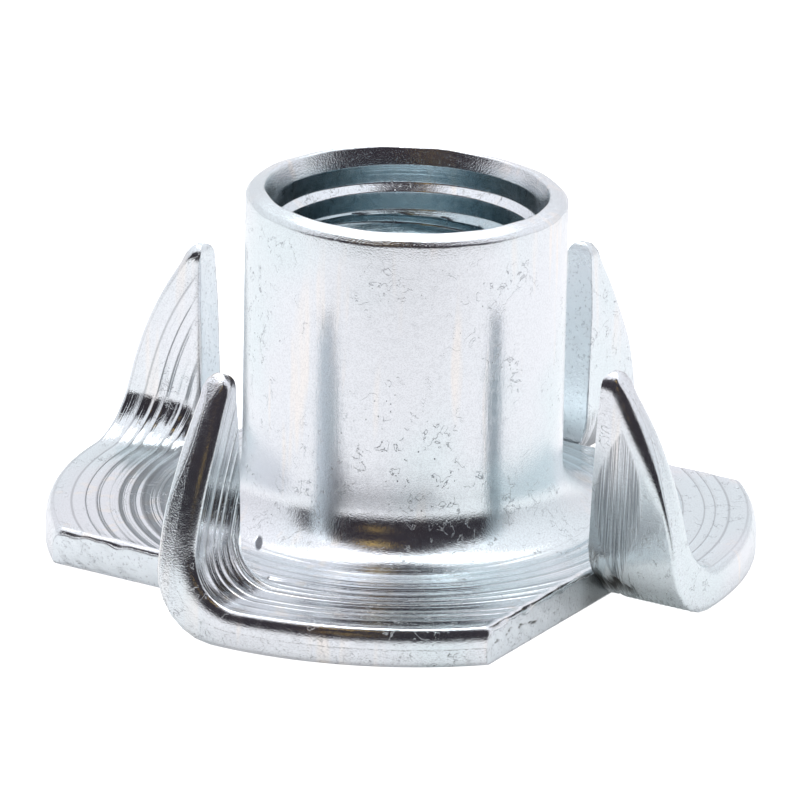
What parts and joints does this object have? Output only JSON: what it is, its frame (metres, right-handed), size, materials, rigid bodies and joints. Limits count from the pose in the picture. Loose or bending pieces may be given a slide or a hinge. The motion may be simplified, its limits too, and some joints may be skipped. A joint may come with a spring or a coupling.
{
  "type": "tee nut",
  "caption": "Zinc-plated steel tee nut: threaded barrel drawn from a round flange whose rim is lanced and folded up into pointed prongs that bite into wood.",
  "frame": {"origin": "centre of the flange's flat underside, on the axis of the barrel", "axes": "+Z along the barrel from the flange to the open lip; the picture looks along +Y"},
  "size_m": [0.0222, 0.0222, 0.0115],
  "materials": {
    "zinc_plate": "bright bluish zinc plate on drawn and sheared steel, with fine scratches and small pits"
  },
  "bodies": {
    "root": {"tee_nut": "zinc_plate"}
  },
  "joints": []
}
